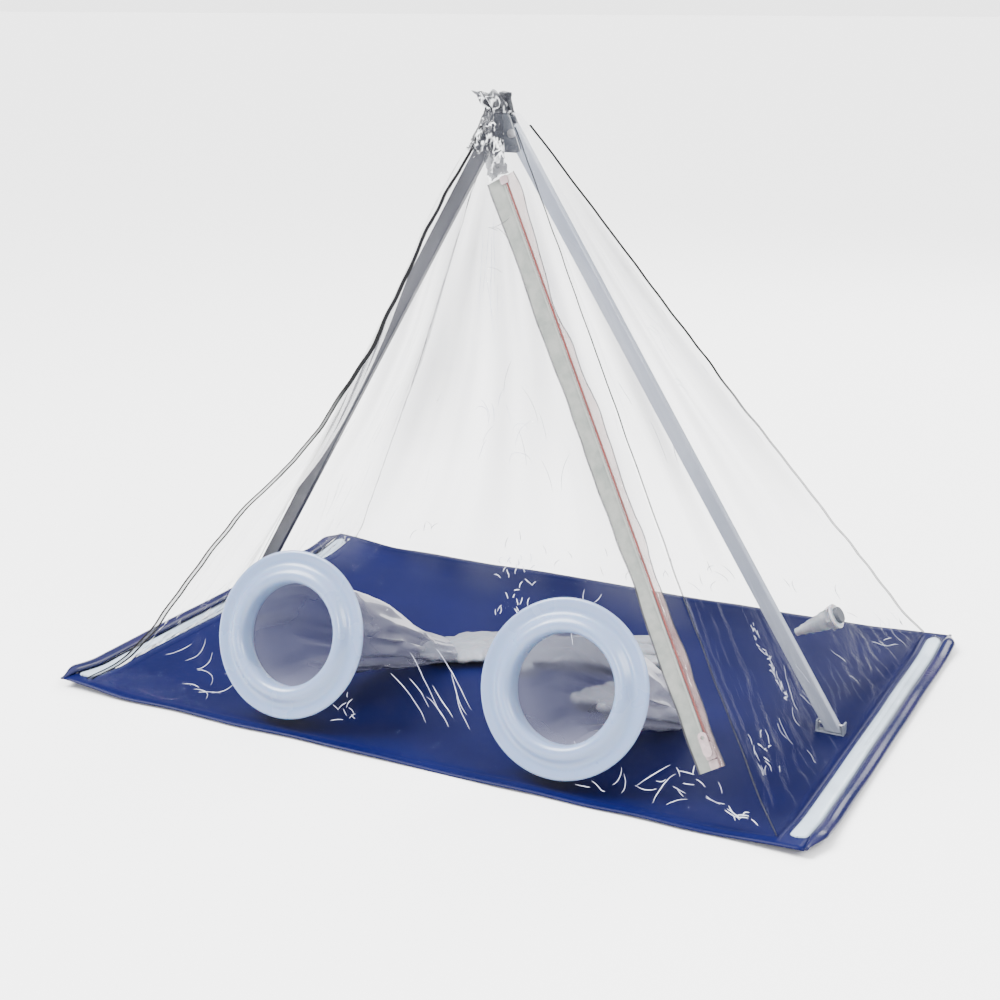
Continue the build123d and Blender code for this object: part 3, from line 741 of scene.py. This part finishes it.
def buildCreases(wall, look):  # thin raised creases that lie on a wall; the pale ones are painted highlights and the dark set painted shade
    pick = random.Random(look["seed"])
    lay, out = look["place"], Vector(look["out"]).normalized()
    points, faces = [], []
    tiny, steps = 0.002, 12
    for u0, v0, spreadU, spreadV, count, length, width, heading, turning in look["sets"]:
        for n in range(count):
            u = u0 + spreadU * pick.uniform(-1, 1)
            v = v0 + spreadV * pick.uniform(-1, 1)
            size = length * pick.uniform(0.5, 1.25)
            stray = 70 if length < 0.021 else 6  # small creases lie every way, long ones side by side
            angle = radians(heading + stray * pick.uniform(-1, 1))
            bend = turning * pick.uniform(-1, 1)
            spot = []
            for k in range(steps + 1):
                u, v = clamp(u, 0.012, 0.988), clamp(v, 0.012, 0.95)
                spot.append(lay(u, v) + out * 0.0009)
                wideU = (lay(u + tiny, v) - lay(u - tiny, v)).length / (2 * tiny)
                wideV = (lay(u, v + tiny) - lay(u, v - tiny)).length / (2 * tiny)
                u += sin(angle) * size / steps / max(wideU, 0.02)
                v += cos(angle) * size / steps / max(wideV, 0.02)
                angle += bend + turning * 0.6 * pick.uniform(-1, 1)
            for k, p in enumerate(spot):
                run = spot[min(k + 1, steps)] - spot[max(k - 1, 0)]
                if run.length < 1e-6:
                    run = Vector((0, 0, 1))
                half = run.normalized().cross(out) * (width * (0.15 + 0.5 * sin(pi * k / steps) ** 0.6) * 0.8)
                points += [p - half, p + out * 0.0002, p + half]
                if k:
                    a = len(points) - 6
                    faces += [(a, a + 1, a + 4, a + 3), (a + 1, a + 2, a + 5, a + 4)]
    creases = addPiece(f"{wall}Creases", points, faces, finish[look["finish"]], None, "clear_film")
    if wall in ("front", "shade"):
        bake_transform(creases)
    else:
        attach(creases, "base")
        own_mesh(creases)


for wall, look in creaseLook.items():
    buildCreases(wall, look)
print("creases made")


weldLook = {"outside": 0.003, "inside": 0.006, "lift": 0.0007}


def buildWeld():  # the welded band where the film meets the mat, as one closed strip
    outline = []
    for (x0, y0), (x1, y1) in (((-1, -1), (1, -1)), ((1, -1), (1, 1)), ((1, 1), (-1, 1)), ((-1, 1), (-1, -1))):
        count = 90 if y0 == y1 else 60
        for k in range(count):
            outline.append((x0 + (x1 - x0) * k / count, y0 + (y1 - y0) * k / count))
    offsets = (weldLook["outside"], 0.0, -weldLook["inside"])
    points, faces = [], []
    for x, y in outline:
        for k, off in enumerate(offsets):
            px, py = x * (tent["halfX"] + off), y * (tent["halfY"] + off)
            z = matLook["thickness"] + matHeight(px, py) + (weldLook["lift"] if k == 1 else 0.00015)
            points.append((px, py, z))
    total = len(outline)
    for s in range(total):
        for k in range(2):
            a, b = s * 3 + k, ((s + 1) % total) * 3 + k
            faces.append((a, b, b + 1, a + 1))
    weld = addPiece("seamWeld", points, faces, finish["mat"], "base", "clear_film", ("base_weld_band",))
    return weld


buildWeld()
print("base weld made")


ringLook = {  # the ring's profile: distance from the middle, height over the wall
    "profile": ((0.0500, -0.0125), (0.0500, 0.0020), (0.0506, 0.0062), (0.0526, 0.0092), (0.0556, 0.0106),
                (0.0588, 0.0106), (0.0620, 0.0092), (0.0646, 0.0066), (0.0664, 0.0044), (0.0690, 0.0032),
                (0.0722, 0.0030), (0.0752, 0.0036), (0.0780, 0.0042), (0.0802, 0.0040), (0.0816, 0.0030),
                (0.0820, 0.0018), (0.0814, 0.0009), (0.0640, 0.0009), (0.0545, 0.0008), (0.0525, -0.0010),
                (0.0525, -0.0125)),
    "steps": 128,
}


def buildRing(side):
    look = ringLook
    points, faces = [], []
    count = len(look["profile"])
    for s in range(look["steps"]):
        turn = 2 * pi * s / look["steps"]
        for radius, height in look["profile"]:
            points.append(onFront(ringSpots[side] + radius * cos(turn), ringUp + radius * sin(turn), height))
    for s in range(look["steps"]):
        for k in range(count):
            a, b = s * count + k, s * count + (k + 1) % count
            c, d = ((s + 1) % look["steps"]) * count + (k + 1) % count, ((s + 1) % look["steps"]) * count + k
            faces.append((a, b, c, d))
    ring = addPiece(f"{side}Ring", points, faces, finish["ring"], None, "ring_plastic", (f"{side}_port_ring",))
    soft = ring.modifiers.new("softProfile", "SUBSURF")
    soft.levels = soft.render_levels = 1
    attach(ring, "front_wall")
    return ring


for side in ringSpots:
    buildRing(side)
print("rings made")


gloveLook = {
    "left": {
        "neck": [((-0.126, -0.175, 0.080), 0.050, 0.046), ((-0.112, -0.120, 0.055), 0.040, 0.034),
                 ((-0.104, -0.078, 0.032), 0.036, 0.026), ((-0.094, -0.046, 0.019), 0.032, 0.015),
                 ((-0.076, -0.024, 0.013), 0.030, 0.009)],
        "palm": [((-0.078, -0.026), 0.030), ((-0.050, 0.002), 0.042), ((-0.015, 0.016), 0.043), ((0.020, 0.026), 0.037)],
        "fingers": [[(0.010, 0.040), (0.060, 0.072), (0.116, 0.092)], [(0.020, 0.030), (0.070, 0.052), (0.140, 0.072)],
                    [(0.020, 0.018), (0.075, 0.034), (0.152, 0.048)], [(0.010, 0.006), (0.062, 0.012), (0.122, 0.024)],
                    [(-0.040, -0.015), (-0.014, -0.026), (0.016, -0.026)]],
    },
    "right": {
        "neck": [((0.168, -0.180, 0.078), 0.050, 0.046), ((0.186, -0.135, 0.052), 0.040, 0.032),
                 ((0.202, -0.100, 0.026), 0.030, 0.018), ((0.202, -0.080, 0.013), 0.022, 0.009),
                 ((0.192, -0.062, 0.011), 0.024, 0.008)],
        "palm": [((0.194, -0.064), 0.022), ((0.180, -0.048), 0.030), ((0.162, -0.044), 0.026)],
        "fingers": [[(0.172, -0.030), (0.146, -0.030), (0.122, -0.040)], [(0.168, -0.044), (0.138, -0.050), (0.108, -0.062)],
                    [(0.166, -0.056), (0.136, -0.066), (0.106, -0.078)], [(0.180, -0.066), (0.160, -0.080), (0.138, -0.088)]],
    },
    "fingerRadius": 0.0110, "thickness": 0.0062, "lie": 0.0098, "voxel": 0.0024,
}


def buildSleeve(side):
    spots = gloveLook[side]["neck"]
    turns = 56
    mouth = onFront(ringSpots[side], ringUp, -0.010)
    sections = [(mouth, frontUp, Vector((1, 0, 0)), 0.0532, 0.0532)]
    sections.append((onFront(ringSpots[side], ringUp, -0.018), frontUp, Vector((1, 0, 0)), 0.0528, 0.0528))
    for n, (centre, half, tall) in enumerate(spots):
        centre = Vector(centre)
        before = Vector(spots[n - 1][0]) if n else mouth
        after = Vector(spots[n + 1][0]) if n + 1 < len(spots) else centre + (centre - before)
        along = (after - before).normalized()
        sideways = along.cross(Vector((0, 0, 1))).normalized()
        sections.append((centre, sideways.cross(along).normalized(), sideways, half, tall))
    rings = 70

    def place(u, v):
        spot = v * (len(sections) - 1)
        n = min(int(spot), len(sections) - 2)
        f = ramp(0, 1, spot - n) * 0.5 + (spot - n) * 0.5
        a, b = sections[n], sections[n + 1]
        centre = a[0].lerp(b[0], f)
        upward, sideways = a[1].lerp(b[1], f), a[2].lerp(b[2], f)
        wide, tall = a[3] + (b[3] - a[3]) * f, a[4] + (b[4] - a[4]) * f
        twist = 2 * pi * u + 0.5 * v * v
        fold = 1 + (0.16 * ridge(cos(2 * pi * u) * 3, sin(2 * pi * u) * 3, v * 2.2 + 3) - 0.08) * ramp(0.12, 0.4, v)
        p = centre + sideways * (cos(twist) * wide * fold) + upward * (sin(twist) * tall * fold)
        p.z = max(p.z, 0.0032 + 0.001 * ridge(u * 9, v * 9))
        return p

    sleeve = addGrid(f"{side}Sleeve", turns, rings, place, finish["sleeve"], slot="glove_film")
    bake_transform(sleeve)
    return sleeve


def buildHand(side):  # limp film glove: palm and fingers lying almost flat on the mat
    look = gloveLook[side]
    blobs = [(Vector((x, y, gloveLook["lie"])), radius, gloveLook["thickness"] * 1.1) for (x, y), radius in look["palm"]]
    for a, b in zip(look["palm"], look["palm"][1:]):
        blobs.append((Vector(((a[0][0] + b[0][0]) / 2, (a[0][1] + b[0][1]) / 2, gloveLook["lie"])), (a[1] + b[1]) / 2,
                      gloveLook["thickness"] * 1.1))
    for n, finger in enumerate(look["fingers"]):
        for a, b in zip(finger, finger[1:]):
            count = 9
            for k in range(count + 1):
                x, y = a[0] + (b[0] - a[0]) * k / count, a[1] + (b[1] - a[1]) * k / count
                lift = 0.003 * rough(x * 30, y * 30, n) + 0.0015
                radius = gloveLook["fingerRadius"] * (1 - 0.12 * rough(x * 40, y * 40, n + 5))
                blobs.append((Vector((x, y, gloveLook["lie"] + max(0, lift))), radius, gloveLook["thickness"]))
    build = bmesh.new()
    for centre, radius, half in blobs:
        place = Matrix.Translation(centre) @ Matrix.Diagonal((radius, radius, half, 1))
        bmesh.ops.create_icosphere(build, subdivisions=2, radius=1.0, matrix=place)
    rawMesh = bpy.data.meshes.new(f"{side}HandRaw")
    build.to_mesh(rawMesh)
    build.free()
    raw = bpy.data.objects.new(f"{side}HandRaw", rawMesh)
    bpy.context.collection.objects.link(raw)
    join = raw.modifiers.new("join", "REMESH")
    join.mode = "VOXEL"
    join.voxel_size = gloveLook["voxel"]
    soften = raw.modifiers.new("soften", "SMOOTH")
    soften.iterations = 6
    finished = bpy.data.meshes.new_from_object(raw.evaluated_get(bpy.context.evaluated_depsgraph_get()))
    points = [v.co.copy() for v in finished.vertices]
    normals = [v.normal.copy() for v in finished.vertices]
    faces = [tuple(f.vertices) for f in finished.polygons]
    bpy.data.objects.remove(raw)
    for n, p in enumerate(points):
        wrinkle = ridge(p.x * 55, p.y * 55, p.z * 20) * 0.0016 + rough(p.x * 120, p.y * 120) * 0.0004
        p += normals[n] * wrinkle
        p.z = max(p.z, 0.0031)
    return addPiece(f"{side}Hand", points, faces, finish["glove"], "base", "glove_film", (f"{side}_glove",))


for side in ringSpots:
    buildSleeve(side)
    buildHand(side)
print("gloves made")


def waveAcross(along, seed):  # how the soft zip wanders as it runs up the wall
    return 0.0022 * rough(along * 8, seed) + 0.0010 * rough(along * 26, seed + 1)


def buildZipTape():
    def placeTape(u, v):
        along = v * zipLine["length"]
        across = 0.0002 + u * (0.015 + waveAcross(along, 3.0))
        return zipPoint(along, across, 0.0006 + 0.0008 * sin(pi * u) * (0.5 + 0.5 * rough(along * 20, u * 2)))

    tape = addGrid("zipTape", 10, 260, placeTape, finish["tape"], slot="zip_tape_matte", replaces=("zip_tape",))

    def placeMargin(u, v):
        along = v * zipLine["length"]
        across = -0.0002 - u * (0.008 + waveAcross(along, 8.0) * 1.6)
        return zipPoint(along, across, 0.0006 + 0.0010 * u * ridge(along * 30, u * 3, 5.0))

    margin = addGrid("zipMargin", 8, 260, placeMargin, finish["margin"], slot="clear_film", replaces=("zip_margin",))

    def placeRim(u, v):  # the margin's folded edge, as a dark line of painted shade
        along = v * zipLine["length"]
        across = -0.0002 - (0.008 + waveAcross(along, 8.0) * 1.6) - u * 0.0012
        return zipPoint(along, across, 0.0009 + 0.0012 * ridge(along * 26, 4.0))

    def placeEdge(u, v):  # and a dark line of painted shade along the tape's own edge
        along = v * zipLine["length"]
        return zipPoint(along, 0.0150 + waveAcross(along, 3.0) + u * 0.0016, 0.0007 + 0.0006 * ridge(along * 30, 6.0))

    rim = addGrid("zipMarginRim", 2, 260, placeRim, finish["darkLine"], slot="clear_film")
    edge = addGrid("zipTapeEdge", 2, 260, placeEdge, finish["darkLine"], slot="zip_tape_matte")
    for piece in (tape, margin, rim, edge):
        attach(piece, "front_wall")

    def placeGather(u, v):  # film bunched between the top of the zip and the hub
        along = 0.5795 + 0.046 * v
        across = -0.007 + (0.022 - 0.007 * v) * u + 0.0012 * rough(v * 9, u * 2)
        return zipPoint(along, across, 0.0022 + 0.0030 * ridge(u * 3, v * 4, 2.0) * sin(pi * u))

    gather = addGrid("zipTopGather", 16, 40, placeGather, finish["crumple"], slot="clear_film")
    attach(gather, "front_wall")


buildZipTape()
for name, look in (("zip_red_profile", "red"), ("zip_grey_profile", "grey"), ("zip_bottom_stop", "slider"),
                   ("zip_top_stop", "slider"), ("zip_slider", "slider"), ("zip_pull", "slider"),
                   ("left_rod", "rodPaintedShade"), ("right_rod", "rod"), ("hub_front_plate", "hub"), ("hub_back_plate", "hub"),
                   ("hub_rivets", "metal"), ("left_foot_shoe", "shoe"), ("right_foot_shoe", "shoe"),
                   ("left_foot_pin", "metal"), ("right_foot_pin", "metal"), ("left_port_clamp", "ring"),
                   ("right_port_clamp", "ring"), ("left_port_gasket", "port"), ("right_port_gasket", "port"),
                   ("left_cuff_band", "port"), ("right_cuff_band", "port"), ("gas_flange", "port"),
                   ("gas_nut", "port"), ("gas_nozzle", "port"), ("gas_plug", "dark")):
    nodes[name].data.materials.clear()
    nodes[name].data.materials.append(finish[look])
print("zip, rods and fittings finished")


tuftLook = {"foot": (-0.004, -0.042, 0.578), "lean": (-0.008, 0.0, 0.0), "height": 0.0185, "halfWide": 0.015, "halfDeep": 0.008}


def buildTuft():  # the gathered top of the film, pinched and folded over to the left
    look = tuftLook

    def place(u, v):
        turn = 2 * pi * u
        gather = 1 + 0.28 * sin(turn * 7 + 3 * v) + 0.14 * rough(cos(turn) * 3, sin(turn) * 3, v * 3)
        flare = 0.85 - 0.25 * v + 0.5 * v * v
        x = cos(turn) * look["halfWide"] * flare * gather
        y = sin(turn) * look["halfDeep"] * flare * gather
        lean = Vector(look["lean"]) * (v ** 1.3)
        jag = 0.003 * rough(turn * 2.5, v * 2, 8.0) * v
        return Vector(look["foot"]) + lean + Vector((x, y, look["height"] * v + jag))

    tuft = addGrid("apexTuft", 90, 26, place, finish["crumple"], slot="clear_film", replaces=("apex_tuft",))
    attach(tuft, "frame")
    return tuft


wrapLook = {"top": 0.583, "bottom": 0.536, "topWide": 0.017, "bottomWide": 0.036, "topDeep": 0.015, "bottomDeep": 0.026,
            "from": 130, "to": 292}  # the sweep in degrees, open on the side where the right-hand rod stands clear


def buildWrap():  # crumpled film bunched round the hub
    look = wrapLook

    def place(u, v):
        turn = radians(look["from"] + (look["to"] - look["from"]) * u)
        wide = look["topWide"] + (look["bottomWide"] - look["topWide"]) * v
        deep = look["topDeep"] + (look["bottomDeep"] - look["topDeep"]) * v
        crease = 1 + 0.10 * ridge(cos(turn) * 4, sin(turn) * 4, v * 4) - 0.05
        z = look["top"] + (look["bottom"] - look["top"]) * v * (1 - 0.2 * ridge(turn * 2.0, 3.0) * v)
        return Vector((cos(turn) * wide * crease, tent["topY"] + sin(turn) * deep * crease, z))

    wrap = addGrid("hubWrap", 96, 30, place, finish["crumple"], slot="clear_film")
    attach(wrap, "frame")
    return wrap


rodShadeLineLook = {"low": 0.030, "high": 0.525, "wideLow": 0.0010, "wideHigh": 0.0026}


def buildRodShadeLine():  # a dark strip of painted shade along the left-hand rod's outer side
    look = rodShadeLineLook

    def place(u, v):
        z = look["low"] + (look["high"] - look["low"]) * v
        wide = look["wideLow"] + (look["wideHigh"] - look["wideLow"]) * ramp(0.2, 0.7, v)
        return (-(rodOut(z) + 0.0002 + wide * u), rodDepth(z) - tent["rodHalf"] * (1 - 0.5 * u), z)

    edge = addGrid("leftRodShadeLine", 3, 120, place, finish["darkLine"], slot="clear_film")
    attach(edge, "frame")


buildTuft()
buildWrap()
buildRodShadeLine()
print("apex made")


# floor, light and camera

def buildStage():
    floorMesh = bpy.data.meshes.new("floor")
    size = 60.0
    floorMesh.from_pydata([(-size, -size, -0.0005), (size, -size, -0.0005), (size, size, -0.0005), (-size, size, -0.0005)],
                          [], [(0, 1, 2, 3)])
    floor = bpy.data.objects.new("floor", floorMesh)
    bpy.context.collection.objects.link(floor)
    material, tree, shader, output = newMaterial("floorPaper")
    speck = addNode(tree, "ShaderNodeTexNoise")
    setValues(speck, Scale=3.0, Detail=3.0)
    tone = addNode(tree, "ShaderNodeMix", data_type="RGBA")
    wire(tree, speck.outputs["Fac"], tone.inputs["Factor"])
    tone.inputs["A"].default_value = (0.90, 0.90, 0.90, 1)
    tone.inputs["B"].default_value = (0.92, 0.92, 0.92, 1)
    wire(tree, tone.outputs["Result"], shader.inputs["Base Color"])
    shader.inputs["Roughness"].default_value = 0.9
    shader.inputs["Specular IOR Level"].default_value = 0.1
    floorMesh.materials.append(material)


lightLook = {
    "world": 3.2,
    "bands": ((0.0, 1.0), (0.03, 1.0), (0.10, 0.16), (0.50, 0.16), (0.78, 0.9), (1.0, 1.0)),  # height, brightness
    "sun": {"strength": 8.0, "spread": 34, "from": (-0.55, -0.25, 1.0)},
    "lamps": (("fillLamp", (1.9, -0.7, 1.7), 1.0, 60.0), ("leftLamp", (-1.7, -1.3, 1.9), 0.9, 60.0),
              ("backLamp", (0.3, 2.3, 1.9), 1.2, 60.0), ("stripLamp", (0.2, -2.4, 1.3), 0.4, 25.0)),
}


def buildLights():
    world = bpy.data.worlds.new("studio")
    bpy.context.scene.world = world
    world.use_nodes = True
    tree = world.node_tree
    back = tree.nodes["Background"]
    back.inputs["Strength"].default_value = lightLook["world"]
    place = addNode(tree, "ShaderNodeTexCoord")
    split = addNode(tree, "ShaderNodeSeparateXYZ")
    wire(tree, place.outputs["Generated"], split.inputs[0])
    tone = addNode(tree, "ShaderNodeValToRGB")
    wire(tree, split.outputs["Z"], tone.inputs["Fac"])
    bands = lightLook["bands"]
    for n, (height, bright) in enumerate(bands):
        if 0 < n < len(bands) - 1:
            step = tone.color_ramp.elements.new(height)
        else:
            step = tone.color_ramp.elements[0 if n == 0 else -1]
        step.color = (bright, bright, bright, 1)
    wire(tree, tone.outputs["Color"], back.inputs["Color"])
    sun = bpy.data.lights.new("sunLamp", "SUN")
    sun.energy = lightLook["sun"]["strength"]
    sun.angle = radians(lightLook["sun"]["spread"])
    sunHolder = bpy.data.objects.new("sunLamp", sun)
    bpy.context.collection.objects.link(sunHolder)
    sunHolder.rotation_euler = (-Vector(lightLook["sun"]["from"])).to_track_quat("-Z", "Y").to_euler()
    for name, spot, size, power in lightLook["lamps"]:
        lamp = bpy.data.lights.new(name, "AREA")
        lamp.size = size
        lamp.energy = power
        holder = bpy.data.objects.new(name, lamp)
        bpy.context.collection.objects.link(holder)
        holder.location = spot
        holder.rotation_euler = (Vector((0, 0, 0.2)) - Vector(spot)).to_track_quat("-Z", "Y").to_euler()


cameraLook = {"place": (0.7262, -1.4817, 0.6831), "towards": (-0.43274, 0.85358, -0.29005), "lens": 59.82}


def buildCamera():
    camera = bpy.data.cameras.new("camera")
    camera.lens = cameraLook["lens"]
    camera.sensor_width = 36.0
    camera.clip_end = 100
    holder = bpy.data.objects.new("camera", camera)
    bpy.context.collection.objects.link(holder)
    holder.location = cameraLook["place"]
    holder.rotation_euler = Vector(cameraLook["towards"]).to_track_quat("-Z", "Y").to_euler()
    bpy.context.scene.camera = holder


buildStage()
buildLights()
buildCamera()
print("stage, lights and camera set")
